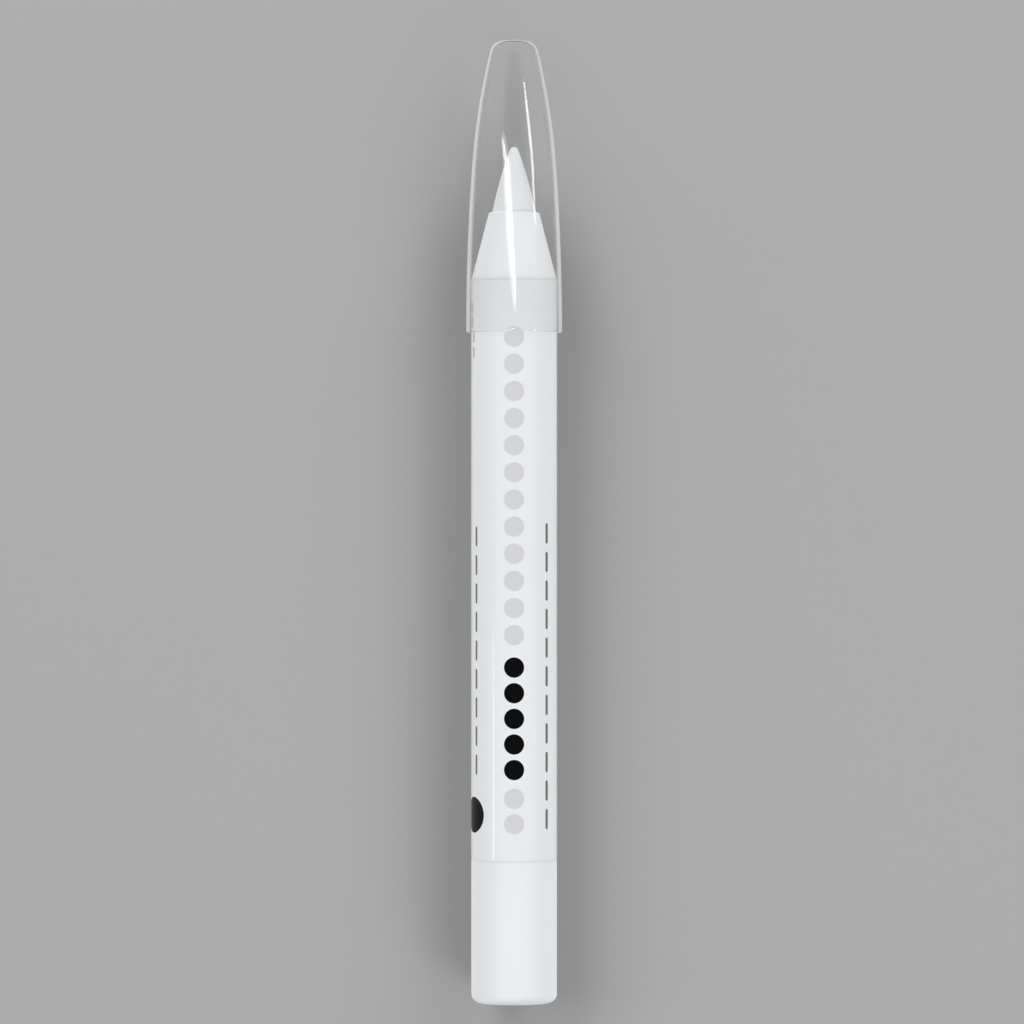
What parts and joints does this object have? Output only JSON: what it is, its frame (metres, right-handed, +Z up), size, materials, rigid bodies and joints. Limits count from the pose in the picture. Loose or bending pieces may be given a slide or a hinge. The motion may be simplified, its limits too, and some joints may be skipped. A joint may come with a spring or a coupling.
{
  "type": "twist-up crayon pen",
  "caption": "Slim white twist-up crayon pen with a clear bullet-shaped push-on cap, a tapered nose and a turning base that drives the crayon out through a spiral sleeve.",
  "frame": {"origin": "middle of the pen's length, on the surface it lies on, under the pen axis", "axes": "+Y along the pen axis towards the cap, +Z up"},
  "size_m": [0.0128, 0.1284, 0.0128],
  "materials": {
    "clear_cap": "clear, polished",
    "film": "glossy white printed film",
    "barrel_tube": "smooth white",
    "nose": "fine satin white",
    "crayon_wax": "soft white wax",
    "base_shell": "fine satin white",
    "inner_plastic": "natural moulded white",
    "o_ring": "black rubber"
  },
  "bodies": {
    "barrel": {"barrel": "barrel_tube", "barrel_film": "film", "nose_cone": "nose", "spiral_sleeve": "inner_plastic"},
    "base": {"twist_base": "base_shell", "base_core": "inner_plastic", "guide_tube": "inner_plastic", "lock_ring": "inner_plastic", "friction_o_ring": "o_ring"},
    "carrier": {"elevator_cup": "inner_plastic", "crayon": "crayon_wax"},
    "cap": {"cap": "clear_cap"}
  },
  "joints": [
    {"name": "cap_slide", "type": "slide", "parent": "barrel", "child": "cap", "axis": [0, 1, 0], "range_m": [0, 0.045]},
    {"name": "base_twist", "type": "hinge", "parent": "barrel", "child": "base", "pos_m": [0, -0.05, 0.0064], "axis": [0, 1, 0], "range_deg": [-540.5, 720.5]},
    {"name": "carrier_slide", "type": "slide", "parent": "base", "child": "carrier", "axis": [0, 1, 0], "range_m": [-0.009, 0.012]}
  ],
  "couplings": [
    {"joint": "base_twist", "follows": "carrier_slide", "rad_per_m": 1047.2}
  ]
}
